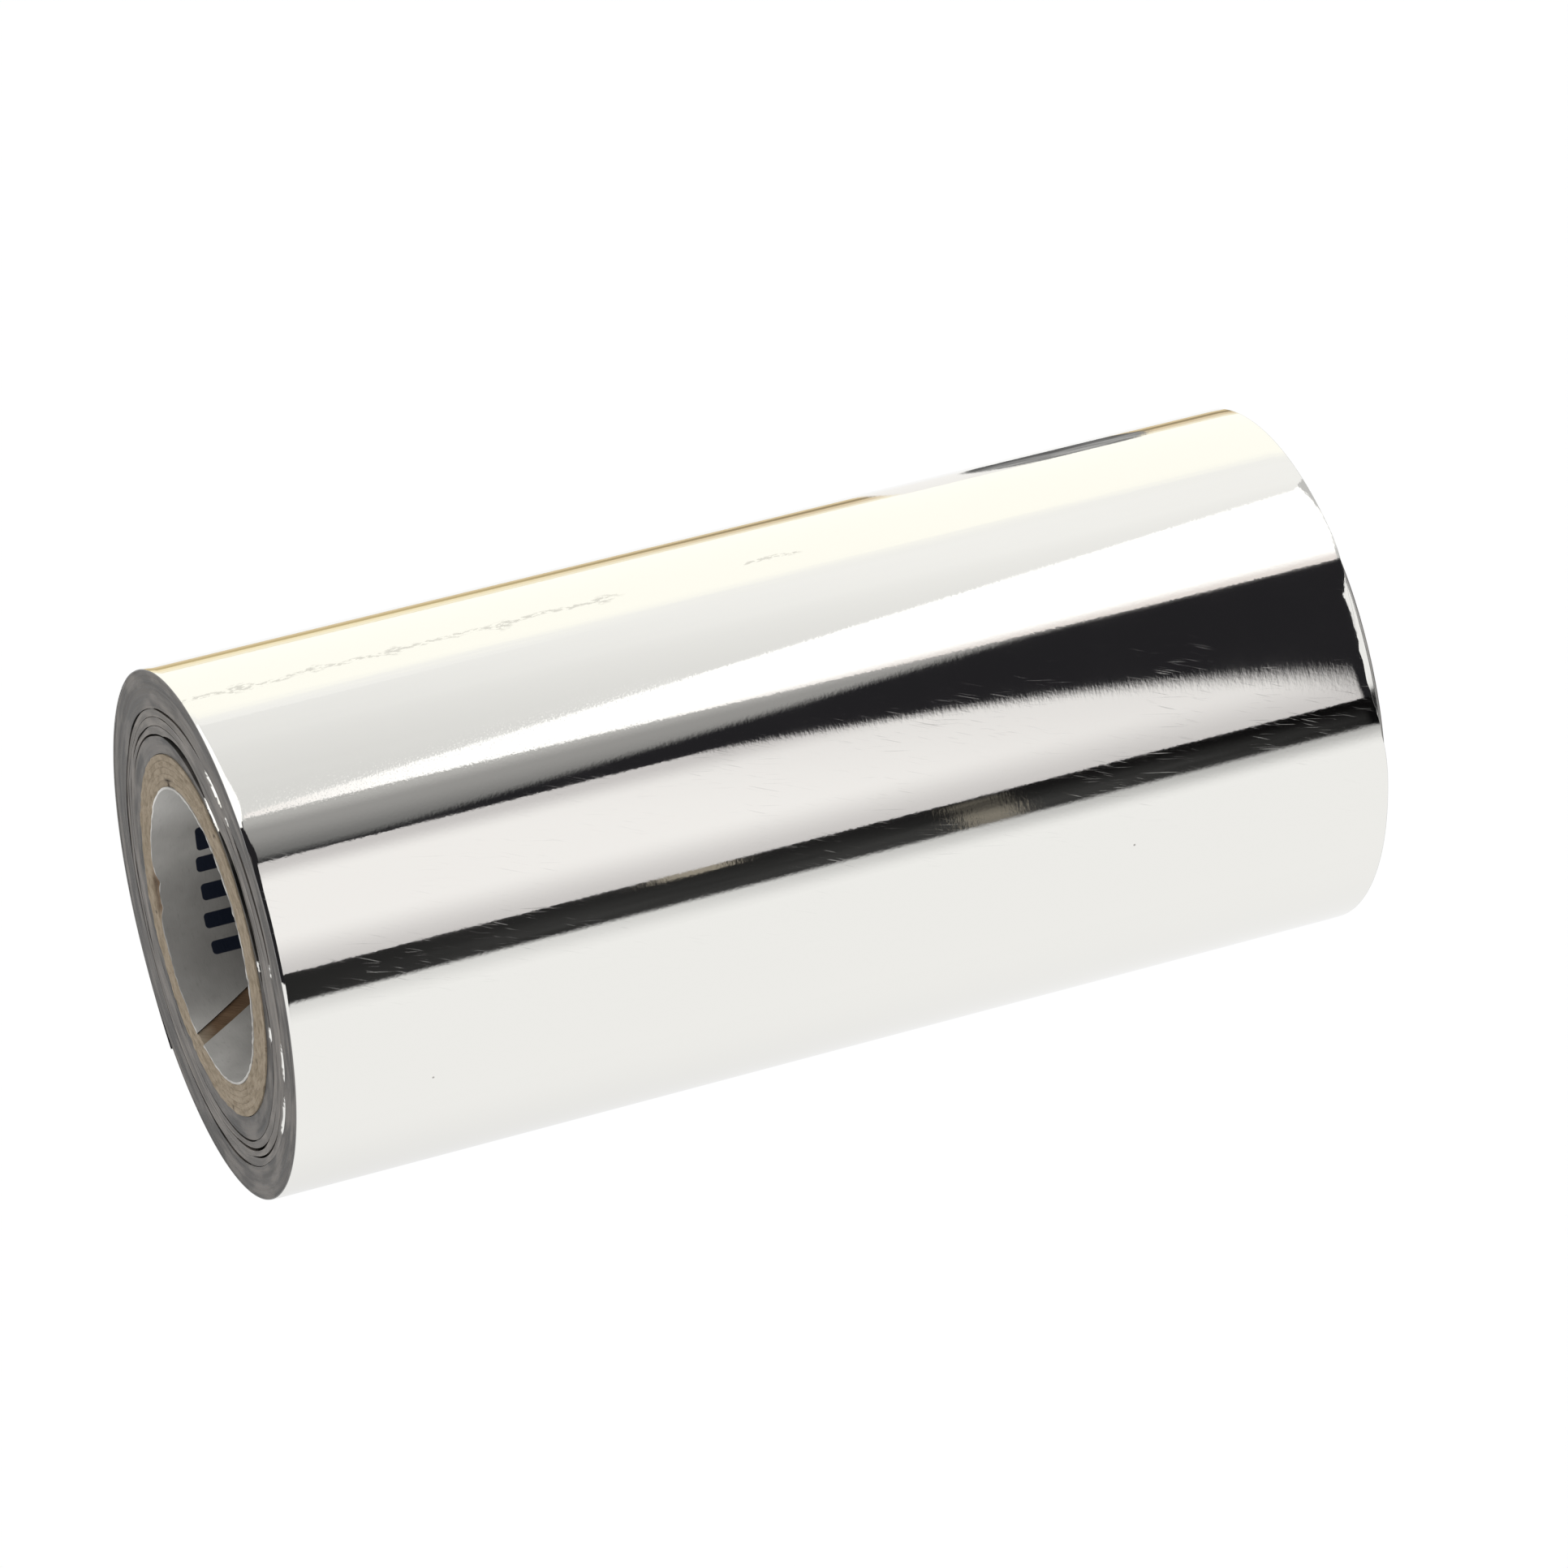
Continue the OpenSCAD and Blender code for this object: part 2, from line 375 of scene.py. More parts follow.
# Print on the liner, in mm: (distance along the bore, distance round it, length, width, slant)
PRINT_PITCH = (26.0, 0.5)  # mm along the bore, and the share of a turn round it
PRINT_BARS = [
    (4.0, 0.2, 9.0, 2.5, 3), (3.85, -2.6, 9.0, 1.45, 0), (3.95, -5.2, 9.0, 1.5, 0),
    (3.7, -7.7, 9.0, 1.35, 0), (3.75, -10.1, 9.0, 1.2, 0),
]


def liner_paper_material():
    """White liner paper, printed in navy with a plain pattern of bars, with painted shade deep in
    the bore and on one side of it, and painted light on another. The attribute paper holds mm
    along the bore and mm round it."""
    p = Paint("liner_paper", {"Specular IOR Level": 0.3})
    paper = p.attribute("paper")
    along, around, _ = p.split(paper)
    pitch_round = PRINT_PITCH[1] * 2 * math.pi * BORE_R
    offset = 0.6 * pitch_round  # keeps one row whole between the wraps
    bore_wrap = p.math("FLOORED_MODULO", along, PRINT_PITCH[0])
    shifted = p.math("FLOORED_MODULO", p.math("ADD", around, offset), pitch_round)
    round_wrap = p.math("SUBTRACT", shifted, offset)
    place = p.node("CombineXYZ", {0: bore_wrap, 1: round_wrap, 2: 0.0}).outputs[0]
    ink = None
    corner = 0.35
    for start, level, length, width, slant in PRINT_BARS:
        centre = (start + length / 2, level, 0.0)
        local = p.node("VectorMath", {0: place, 1: centre}, operation="SUBTRACT").outputs[0]
        local = p.stretched(local, (1.0, 1.0, 0.0), -slant)
        out = p.node("VectorMath", {0: local}, operation="ABSOLUTE").outputs[0]
        half = (length / 2 - corner, width / 2 - corner, 0.0)
        out = p.node("VectorMath", {0: out, 1: half}, operation="SUBTRACT").outputs[0]
        out = p.node("VectorMath", {0: out, 1: (0.0, 0.0, 0.0)}, operation="MAXIMUM").outputs[0]
        distance = p.node("VectorMath", {0: out}, operation="LENGTH").outputs["Value"]
        bar = p.between(distance, corner - 0.04, corner + 0.04, 1.0, 0.0)
        ink = bar if ink is None else p.math("MAXIMUM", ink, bar)
    fibres = p.noise(p.stretched(paper, (3.0, 1.2, 1.0)), 1.0, 4.0, 0.6)
    cloud = p.noise(paper, 0.25, 3.0)
    sheet = p.mix(p.between(cloud, 0.3, 0.7), (0.4, 0.39, 0.37), (0.5, 0.49, 0.465))
    sheet = p.mix(p.between(fibres, 0.55, 0.8, 0.0, 0.5), sheet, (0.3, 0.29, 0.275))
    # Painted shade: more than about 14 mm inside either end the paper is painted darker, for the shade deep in the
    # bore.
    from_middle = p.math("ABSOLUTE", p.math("SUBTRACT", along, HALF_W))
    deep_bore_shade = p.mix(0.75, sheet, (0.17, 0.162, 0.15))
    sheet = p.mix(p.between(from_middle, HALF_W - 14, HALF_W + 1), deep_bore_shade, sheet)
    # Painted shade and painted light: the paper is painted darker on one side of the bore and lighter on another,
    # for how the light falls into it.
    turn = p.math("DIVIDE", around, BORE_R)
    painted_shade_side = p.math("COSINE", p.math("ADD", turn, math.radians(42)))
    sheet = p.mix(p.between(painted_shade_side, 0.78, 1.0, 0.0, 0.45), sheet, (0.04, 0.036, 0.032))
    # Painted light: the paper is painted lighter on this side of the bore.
    clean = p.math("COSINE", p.math("SUBTRACT", turn, math.radians(30)))
    sheet = p.mix(p.between(clean, 0.9, 1.0, 0.0, 0.4), sheet, (0.85, 0.84, 0.81))
    p.colour(p.mix(ink, sheet, (0.003, 0.007, 0.02)))
    p.set("Roughness", p.math("MULTIPLY_ADD", ink, -0.25, 0.75))
    p.bump(p.math("MULTIPLY_ADD", fibres, 0.02, p.times(cloud, 0.05)))
    return p.material


def adhesive_strip_material():
    """The yellowed double-sided strip under the first turn, which the first turns hide."""
    p = Paint("adhesive_strip", {"Coat Weight": 0.2})
    place = p.node("TexCoord", {}).outputs["Object"]
    cloud = p.noise(place, 400, 3.0)
    p.colour(p.mix(p.between(cloud, 0.3, 0.7), (0.5, 0.42, 0.2), (0.66, 0.58, 0.33)))
    p.set("Roughness", p.between(cloud, 0.3, 0.7, 0.3, 0.5))
    p.bump(p.times(cloud, 0.02))
    return p.material


# ---------------------------------------------------------------- the film's outside


def spiral_r(wound):
    """Outer radius of the outermost spiral, by the angle wound since it began."""
    return ROLL_R - INSET - LAYER * (1 - wound / 360)


TAIL_END = 360 + TAIL_PARTS * TAIL_ARC


def lift(wound):
    """How far the free end curls off the roll, by the angle wound."""
    rise = np.clip((wound - TAIL_END + LIFT_ARC) / LIFT_ARC, 0, 1)
    return TAIL_LIFT * rise**2


def swells(x, wound):
    """Faint unevenness of the wound web, in mm."""
    a = (TAIL_START - wound) % 360
    return (0.0026 * round_noise(a, x / 14, 9, 11) + 0.0012 * round_noise(a, x / 5, 30, 12)) - 0.004


def edge_stations(count=9, span=2.4):
    """Distances from an edge, close together at it."""
    return span * (np.arange(count) / count) ** 1.6


def skin(name, wound, left_lip, left_drop, right_drop, right_short, cut_shade=1.0):
    """A length of the web: a thin closed sheet, at the given angles wound. At each angle,
    left_lip is how wide its left edge rolls down, the drops are how far its edges do, and
    right_short is how far its right edge falls short."""
    near = np.concatenate([[0.0], 0.025 + edge_stations()])
    middle = np.linspace(-FILM_HALF_W + near[-1] + 1, FILM_HALF_W - near[-1] - 1, 64)
    across = np.concatenate([-FILM_HALF_W + near, middle, (FILM_HALF_W - near)[::-1]])
    wound = wound[:, None]
    x = np.broadcast_to(across, (len(wound), len(across))).copy()
    from_right = FILM_HALF_W - across
    x -= right_short[:, None] * np.clip(1 - from_right / 5, 0, 1)
    left = np.clip(1 - (across + FILM_HALF_W) / left_lip[:, None], 0, 1) ** 1.3
    right = np.clip(1 - from_right / 1.2, 0, 1) ** 2
    outer = spiral_r(wound) + lift(wound) + swells(x, wound)
    outer = outer - left_drop[:, None] * left - right_drop[:, None] * right
    inner = outer - FILM_T
    x_loop = np.concatenate([x, x[:, ::-1]], axis=1)
    r_loop = np.concatenate([outer, inner[:, ::-1]], axis=1)
    a_loop = np.broadcast_to(TAIL_START - wound, x_loop.shape)
    web = np.broadcast_to(np.radians(wound) * ROLL_R, x_loop.shape)
    film = np.stack([x_loop + HALF_W, web, np.zeros_like(x_loop)], axis=-1)
    edge = (np.arange(len(across)) % (len(across) - 1) == 0) * 1.0
    rim = np.broadcast_to(cut_shade * np.concatenate([edge, edge]), x_loop.shape)
    return piece(name, x_loop, r_loop, a_loop, False, {"film": film, "rim": rim})


# How the left edge of the last turn rolls down over the front of the roll: angle, width, drop
LIPS = [
    (90, 0.25, 0.05), (104, 0.3, 0.05), (109, 0.45, 0.06), (115.5, 0.6, 0.052),
    (121, 0.12, 0.02), (127, 0.45, 0.13),
    (135, 0.25, 0.07), (155, 0.25, 0.07), (161, 0.22, 0.05), (180, 0.25, 0.05),
]


def build_last_turn(material):
    """The outermost full turn. Its start runs on a little way under its own end, and its
    right edge is crinkled and falls a little short over the front of the roll."""
    wound = np.concatenate([[-5, -3.5, -2], np.arange(-1, 360.5, 1.0)])
    a = TAIL_START - wound
    crinkled = hump(turn_from(a, 143), 0, 28)
    ragged = np.abs(round_noise(a, 3.1, 150, 21)) * 0.5 + 0.5 * np.abs(round_noise(a, 7.7, 48, 22))
    short = crinkled * (0.8 + 0.5 * ragged)
    right_drop = 0.02 + 0.04 * crinkled * (1 + round_noise(a, 1.7, 90, 23)) / 2
    angles, widths, drops = zip(*LIPS)
    uneven = 1 + 0.25 * round_noise(a, 2.2, 60, 24)
    left_lip = uneven * np.interp(a % 360, angles, widths)
    left_drop = uneven * np.interp(a % 360, angles, drops)
    obj = skin("film_last_turn_skin", wound, left_lip, left_drop, right_drop, short)
    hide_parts("film_last_turn")
    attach(obj, "roll")
    obj.data.materials.append(material)


def build_tail(material):
    """The free end, in pieces that each run from the middle of one stiff length to the middle
    of the next, across the joint between them. The last one runs on to the free edge."""
    half = TAIL_ARC / 2
    for i in range(1, TAIL_PARTS + 1):
        bend = 360 + (i - 1) * TAIL_ARC
        end = TAIL_END if i == TAIL_PARTS else bend + half
        wound = np.linspace(bend - half, end, round((end - bend + half) / 0.5) + 1)
        if i == 1:
            wound = wound[wound >= 360]
        flat = np.full(len(wound), 0.02)
        obj = skin(f"film_tail_skin_{i}", wound, 10 * flat, flat, flat, 0 * flat, 0.3)
        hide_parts(f"film_tail_{i}")
        obj.data.materials.append(material)
        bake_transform(obj)


# ---------------------------------------------------------------- the wound film's ends


def sag_in(a):
    """How far the inner loose turns sag out of round, as in the CAD source."""
    return 0.45 * np.cos(np.radians(a - 300)) + 0.45 * np.cos(np.radians(2 * (a - 35)))


def sag_out(a):
    """How far the outer loose turns sag out of round, as in the CAD source."""
    return 0.25 * np.cos(np.radians(a - 215))


def kink(a, k):
    """The flats between the soft corners of boundary k, as in the CAD source."""
    return 0.15 * (np.abs(np.sin(np.radians(3.5 * a + 40 * k))) - 0.6)


def meeting_r(k, a):
    """Where one group of turns meets the next, as in the CAD source."""
    f = k / LOOSE_GROUPS
    return (1 - f) * (LOOSE_INNER + sag_in(a)) + f * (LOOSE_OUTER + sag_out(a)) + kink(a, k)


def opening(k, a, column):
    """The width (column 3) or flare (column 4) of boundary k's openings at angles a."""
    total = np.zeros_like(a)
    for slit in SLITS:
        if slit[0] == k:
            t = (a - slit[1]) / (slit[2] - slit[1])
            inside = (t > 0) & (t < 1)
            total += np.where(inside, slit[column] * np.sin(np.pi * np.clip(t, 0, 1)) ** 0.6, 0)
    return total


def wound_group(name, node, inner, outer, turns, seed, sunk, shade, flare, material, wear,
                bare_wall=0):
    """A ring of wound film between the outlines inner and outer, given at the angles turns.
    sunk is how far its ends lie in, wear how ragged they are, and flare how far the outer
    rim of the left end is bent back. A bare wall is mirror film, rounded off at its right."""
    count = max(5, round(float((outer - inner).mean()) / 0.09))
    t = np.linspace(0, 1, count + 1)[None, :]
    a = turns[:, None]
    width = (outer - inner)[:, None]
    r = inner[:, None] + width * t
    level = t * width.mean()
    streak = round_noise(a, level / 0.16, 14, seed) * 0.6 + round_noise(a, level / 0.5, 8, seed + 1)
    end = sunk + wear * (0.5 + 0.5 * streak) + 0.5 * wear * round_noise(a, level / 2, 40, seed + 2)
    end = np.clip(end, 0.0, None)
    bent = np.clip(1 - (outer[:, None] - r) / np.maximum(flare, 0.01)[:, None], 0, 1)
    bent = bent * (flare[:, None] > 0.05)
    level_rim = 1 - (flare[:, None] > 0.05) * np.clip(1.6 - (outer[:, None] - r) / 0.4, 0, 1)
    left = -FILM_HALF_W + end * level_rim + 1.45 * flare[:, None] * bent
    other = round_noise(a, level / 0.2, 11, seed + 5) + round_noise(a, level / 0.6, 7, seed + 6)
    right = FILM_HALF_W - np.clip(sunk + wear * (0.5 + 0.4 * other), 0, None)
    steps = np.array([-0.9, -2.1, -8.6, 8.6, 2.6, 2.2, 1.8, 1.4, 1.0, 0.6, 0.3])
    steps = np.where(steps < 0, -FILM_HALF_W - steps, FILM_HALF_W - steps)
    wall = np.broadcast_to(steps, (len(turns), len(steps)))
    worn_down = 0.3 * bare_wall * np.clip(1 - (FILM_HALF_W - wall) / 2.0, 0, 1) ** 1.5
    outer_wall = outer[:, None] - worn_down
    inner_wall = np.broadcast_to(inner[:, None], wall.shape)
    right_r = inner[:, None] + (width - 0.3 * bare_wall) * t
    x_loop = np.concatenate([left, wall, right[:, ::-1], wall[:, ::-1]], axis=1)
    r_loop = np.concatenate([r, outer_wall, right_r[:, ::-1], inner_wall], axis=1)
    a_loop = np.broadcast_to(a, x_loop.shape)
    zero = np.zeros_like(wall)
    level = level + 0 * r
    level_loop = np.concatenate([level, zero + width.mean(), level[:, ::-1], zero], axis=1)
    grain = np.stack([np.cos(np.radians(a_loop)) * 2 + seed, np.sin(np.radians(a_loop)) * 2,
                      level_loop * 1.0], axis=-1)
    # Painted shade: the walls that face the openings between groups are painted near black for the shade in them,
    # except the tight turns' bare outer wall.
    dark = np.concatenate([0 * r, zero + 1 - bare_wall, 0 * r, zero + 1], axis=1)
    bare = np.concatenate([(bent > 0.02) * 1.0, zero + bare_wall, 0 * r, zero], axis=1)
    tone = np.full(x_loop.shape, float(shade))
    obj = piece(name, x_loop, r_loop, a_loop, True,
                {"grain": grain, "gap": dark, "flare": bare, "shade": tone})
    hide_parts(node)
    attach(obj, "roll")
    obj.data.materials.append(material)
    return obj


def build_wound_film(material):
    """The first turns, the groups of loose turns and the tight turns, from the inside out."""
    turns = np.arange(0, 360, 0.6)
    boundaries = range(LOOSE_GROUPS + 1)
    gaps = [0.05 + opening(k, turns, 3) for k in boundaries]
    inside = [meeting_r(k, turns) - 0.3 * gaps[k] for k in boundaries]
    outside = [meeting_r(k, turns) + 0.7 * gaps[k] for k in boundaries]
    flares = [opening(k, turns, 4) for k in boundaries]
    round_in = np.full_like(turns, CORE_R + 0.05)
    round_out = spiral_r((TAIL_START - turns) % 360) - FILM_T - 0.004
    wound_group("film_first_turns_wound", "film_first_turns", round_in, inside[0], turns, 31,
                0.02, -0.1, flares[0], material, 0.03)
    for k in range(1, LOOSE_GROUPS + 1):
        wound_group(f"film_loose_turns_wound_{k}", f"film_loose_turns_{k}", outside[k - 1], inside[k],
                    turns, 41 + 10 * k, 0.02, 0.25, flares[k], material, 0.06)
    wound_group("film_tight_turns_wound", "film_tight_turns", outside[LOOSE_GROUPS], round_out, turns, 81,
                0.0, -0.05, 0 * turns, material, 0.03, bare_wall=1)


# ---------------------------------------------------------------- the core


def helical_strip(name, node, inner, outer, seam, gap, ends, attribute, seed, radial=4):
    """A strip wound round the core with its edges a gap apart at a helical seam. ends gives how
    far its left and right ends lie in, by angle."""
    open_half = gap / inner * 90 / math.pi
    share = np.linspace(0, 1, 421)[:, None]
    along = np.linspace(-1, 1, 61)[None, :]
    centre_a = seam + open_half + share * (360 - 2 * open_half)
    faces_t = np.linspace(0, 1, radial + 1)[None, :]

    def angle_at(x):
        return centre_a + SEAM_RATE * (x + HALF_W)

    left_a = centre_a + 0 * faces_t
    left_r = inner + (outer - inner) * faces_t + 0 * share
    left_x = -HALF_W + ends[0](left_a, left_r)
    right_a = angle_at(HALF_W) + 0 * faces_t
    right_x = HALF_W - ends[1](right_a, left_r)
    start, stop = left_x[:, -1:], right_x[:, -1:]
    outer_x = (start + stop) / 2 + (stop - start) / 2 * along[:, 1:-1]
    start, stop = left_x[:, :1], right_x[:, :1]
    inner_x = (start + stop) / 2 + (stop - start) / 2 * along[:, 1:-1]
    x_loop = np.concatenate([left_x, outer_x, right_x[:, ::-1], inner_x[:, ::-1]], axis=1)
    wall = np.ones_like(outer_x)
    r_loop = np.concatenate([left_r, outer * wall, left_r[:, ::-1], inner * wall], axis=1)
    a_loop = np.concatenate([left_a, angle_at(outer_x), right_a, angle_at(inner_x)[:, ::-1]], axis=1)
    obj = piece(name, x_loop, r_loop, a_loop, False, attribute(x_loop, r_loop, a_loop, seam))
    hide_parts(node)
    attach(obj, "roll")
    return obj


NICK_AT = 341  # where the liner and the innermost board are torn at the left end
NICK_HALF = 13


def nick(a):
    """How torn the bore's left mouth is at an angle, from 0 to 1."""
    torn = np.clip(1.6 * hump(turn_from(a, NICK_AT), 0, NICK_HALF), 0, 1)
    return torn * (0.75 + 0.25 * round_noise(a, 4.2, 140, 71))


def build_liner(material):
    """The white paper strip that lines the bore."""

    def left_end(a, r):
        fray = 0.05 + 0.05 * round_noise(a, r * 3, 160, 61) + 0.03 * round_noise(a, 1.0, 40, 62)
        return np.clip(fray, 0, None) + 0.45 * nick(a)

    def right_end(a, r):
        return np.clip(0.05 + 0.05 * round_noise(a, r * 3, 150, 63), 0, None)

    def paper(x, r, a, seam):
        around = np.radians(a) * BORE_R
        return {"paper": np.stack([x + HALF_W, around, r * 4], axis=-1)}

    obj = helical_strip("core_liner_paper", "core_liner", BORE_R, LINER_R, LINER_SEAM, LINER_GAP,
                        (left_end, right_end), paper, 60, radial=2)
    obj.data.materials.append(material)


def build_board(material):
    """The board strips round the liner, each with its own seam."""
    wall = (CORE_R - LINER_R) / PLIES
    for i in range(1, PLIES + 1):
        inner = LINER_R + 0.01 + (i - 1) * wall
        outer = inner + wall - 0.015
        seam = PLY_SEAM + (i - 1) * PLY_STAGGER
        gap = 0.4 if i == 1 else 0.06

        def left_end(a, r, inner=inner, outer=outer, i=i):
            pulp = 0.08 + 0.05 * round_noise(a, r * 2.5, 110, 101) + 0.04 * round_noise(a, r * 5, 260, 102)
            rim = 0.05 * hump(np.minimum(r - inner, outer - r), 0, 0.12)
            torn = 0.35 * nick(a) * np.clip(1 - (r - LINER_R) / 0.9, 0, 1)
            return np.clip(pulp + rim + torn, 0, None)

        def right_end(a, r, inner=inner, outer=outer, i=i):
            pulp = 0.1 + 0.06 * round_noise(a, r * 2.5, 100, 103) + 0.04 * round_noise(a, r * 5, 240, 104)
            return np.clip(pulp + 0.05 * hump(np.minimum(r - inner, outer - r), 0, 0.12), 0, None)

        def board(x, r, a, seam, i=i):
            angle = np.radians(a)
            # round the end faces the grain follows the plies; the third axis crosses them
            at = np.stack([np.cos(angle) * r + 0.3 * x, np.sin(angle) * r + 0.3 * x, r * 1.0 + i], axis=-1)
            torn = nick(a) * np.clip(1.3 - (r - LINER_R) / 0.8, 0, 1) * (x + HALF_W < 2)
            inside = (i == 1) * (r < LINER_R + 0.02) * (np.abs(x) < HALF_W - 1.2)
            side = np.abs(turn_from(a - SEAM_RATE * (x + HALF_W), seam))
            # Painted shade, near black: along each open seam, at the left end where the first ply's edge lifts at
            # its seam, and in the torn nick.
            open_seam = 0.85 * np.clip(1 - side / (3.0 if i == 1 else 0.8), 0, 1)
            lifted = hump(turn_from(a, PLY_SEAM), 0, 7) * hump(r, LINER_R + wall, 0.3) * (x + HALF_W < 1)
            nick_shade = 0.7 * nick(a) * hump(r, LINER_R + 0.4, 0.45) * (x + HALF_W < 2)
            soot = np.maximum(np.maximum(open_seam, lifted), nick_shade)
            return {"board": at, "kraft": np.maximum(torn, inside), "soot": soot}

        obj = helical_strip(f"core_board_ply_{i}", f"board_ply_{i}", inner, outer, seam, gap,
                            (left_end, right_end), board, 100 + i)
        obj.data.materials.append(material)


# ---------------------------------------------------------------- studio


def emitter(name, colour, strength=1.0):
    """A card's material: plain light, or light whose colour is worked out by colour(paint)."""
    p = Paint(name)
    p.tree.nodes.remove(p.shader)
    light = p.node("Emission", {"Strength": strength})
    value = colour(p) if callable(colour) else (*colour, 1.0)
    p.feed(light.inputs["Color"], value)
    output = p.tree.nodes["Material Output"]
    p.tree.links.new(light.outputs[0], output.inputs["Surface"])
    return p.material


def card(name, corners, colour, strength=1.0, shown=False):
    """A flat, glowing card of the studio. Only reflections show it, unless it is shown."""
    mesh = bpy.data.meshes.new(name)
    mesh.from_pydata([Vector(c) * MM for c in corners], [], [tuple(range(len(corners)))])
    mesh.materials.append(emitter(name, colour, strength))
    obj = bpy.data.objects.new(name, mesh)
    bpy.context.scene.collection.objects.link(obj)
    if not shown:
        obj.visible_camera = False
        obj.visible_diffuse = False
        obj.visible_shadow = False
        obj.visible_transmission = False
    return obj


FLOOR_Z = -ROLL_R
CEILING_Z = 505
FRONT_Y = -246
REAR_Y = 470
CEILING_FRONT = -70  # where the ceiling starts, behind the top flag
CEILING_HALF = 900
SOFTBOX = (-40, 160, 74, 476)  # left, right, bottom and top of the front softbox
BLACK = (0.018, 0.0175, 0.02)


def grey(level, tint=(1.0, 1.0, 1.0)):
    return tuple(level * t for t in tint)


def standing(left, right, bottom, top, y):
    """The corners of a card that stands across the room."""
    return [(left, y, bottom), (right, y, bottom), (right, y, top), (left, y, top)]


def lying(left, right, front, back, z):
    """The corners of a card that lies flat."""
    return [(left, front, z), (right, front, z), (right, back, z), (left, back, z)]


def position(p):
    """The card's own coordinates, in mm."""
    place = p.node("TexCoord", {}).outputs["Object"]
    return p.node("VectorMath", {0: place, 1: (1000.0,) * 3}, operation="MULTIPLY").outputs[0]


def softbox_colour(p):
    """Brightest along its middle and duller towards its top and bottom edges."""
    x, _, z = p.split(position(p))
    full = p.times(p.between(z, 66, 160), p.between(z, 320, 440, 1.0, 0.0))
    full = p.times(full, p.between(x, 70, 170, 1.0, 0.6))
    lit = p.mix(full, grey(0.68, (1, 0.97, 0.98)), grey(1.03, (1, 0.985, 0.985)))
    rim = p.math("MAXIMUM", p.between(x, 143, 158), p.between(z, 467, 476))
    return p.mix(rim, lit, BLACK)


def flag_colour(p):
    """Between the ceiling and the front softbox: grey at the left, and black beyond a line
    that slants from the softbox's rim at the left to the ceiling's at the right. A bright
    ledge at the far left is seen only by the film's left rim."""
    x, y, _ = p.split(position(p))
    middle = p.mix(p.between(y, -250, -130), grey(0.17), grey(0.35, (1, 0.99, 0.98)))
    left = p.mix(p.between(y, -130, -80), middle, grey(0.52, (1, 0.99, 0.98)))
    line = p.node("MapRange", {"Value": x, "From Min": 105.0, "From Max": 200.0,
                               "To Min": -252.0, "To Max": -122.0}).outputs[0]
    past = p.between(p.math("SUBTRACT", line, y), -26, 12)
    past = p.math("MAXIMUM", past, p.between(x, 25, 55, 1.0, 0.0))
    ledge = p.times(p.between(x, 10, 30, 1.0, 0.0), p.between(y, -101, -97))
    return p.mix(ledge, p.mix(past, left, BLACK), grey(1.3))


# The overhead softbox's front edge runs from one of these to the other, as x and y
EDGE_FROM = (62, -66)
EDGE_TO = (236, -118)


def overhead_front(steps=12):
    """The overhead softbox's front edge: one S-curve that comes forward towards the right."""
    shares = [i / steps for i in range(steps + 1)]
    run, rise = EDGE_TO[0] - EDGE_FROM[0], EDGE_TO[1] - EDGE_FROM[1]
    return [(EDGE_FROM[0] + run * t, EDGE_FROM[1] + rise * t * t * (3 - 2 * t)) for t in shares]


def overhead_colour(p):
    """Brightest away from its left end and its front edge, with a duller stretch towards the
    right, which the film's right end reflects."""
    x, y, _ = p.split(position(p))
    full = p.times(p.between(x, 50, 110), p.between(y, -110, -70))
    lit = p.mix(full, (0.92, 0.86, 0.84), grey(1.35))
    return p.mix(p.band(x, 284, 420, 6), lit, grey(0.62))


def ceiling_colour(p):
    """Pale and faintly streaked: bright at the left, then brighter towards the back and right."""
    x, y, _ = p.split(position(p))
    streak = p.noise(p.stretched(position(p), (0.0008, 0.012, 1.0)), 1.0, 2.0)
    tone = p.math("ADD", p.between(y, -70, 400, 0.83, 0.97), p.times(streak, 0.05))
    tone = p.times(tone, p.between(x, 60, 250, 0.93, 1.05))
    tone = p.math("MAXIMUM", tone, p.between(x, 35, 60, 1.3, 0.0))
    return p.node("CombineXYZ", {0: tone, 1: tone, 2: p.times(tone, 0.995)}).outputs[0]


def rear_colour(p):
    """A cream wall that pales into the ceiling along a mottled line."""
    place = position(p)
    _, _, z = p.split(place)
    mottle = p.noise(p.stretched(place, (0.02, 0.02, 0.06)), 1.0, 4.0, 0.7)
    level = p.math("MULTIPLY_ADD", mottle, 110.0, z)
    return p.mix(p.between(level, 420, 530), (1.19, 1.18, 1.1), (1.04, 1.04, 1.03))


def strip_colour(p):
    """The dark strip below the front softbox, with two faint warm things in front of it. Below
    it the far floor comes up to full brightness."""
    place = position(p)
    x, _, z = p.split(place)
    cloud = p.noise(place, 0.05, 3.0)
    base = p.mix(p.between(x, 30, 150), grey(0.022), grey(0.004))
    low_part = p.times(p.between(cloud, 0.3, 0.6, 0.4, 1.0), p.between(z, 30, 66, 1.0, 0.0))
    base = p.mix(p.times(low_part, p.band(x, 40, 120, 40)), base, grey(0.045))
    first = p.times(p.band(x, 91, 95, 3), p.band(z, 25, 60, 14))
    first = p.times(first, p.between(cloud, 0.2, 0.7))
    second = p.times(p.band(x, 55, 62, 2.5), p.band(z, 66, 74, 3))
    lit = p.math("MAXIMUM", p.times(first, 0.55), p.times(second, 0.8))
    dark = p.mix(lit, base, (0.42, 0.38, 0.31))
    far = p.mix(p.between(x, 20, 150), grey(0.8), grey(0.52))
    far = p.mix(p.between(z, -16, 17), grey(0.98), far)
    return p.mix(p.between(z, 15, 24), far, dark)


# The film's upper back sees the floor behind the roll from here: y, and height over the floor
SEEN_FROM = (11.0, 43.6)
# The floor's pattern is drawn in perspective, once, for the camera below: for each mm that it
# lies further away it leans by this much along the roll, and spreads by this share
SEEN_LEAN = 0.332
SEEN_SPREAD = 0.00164


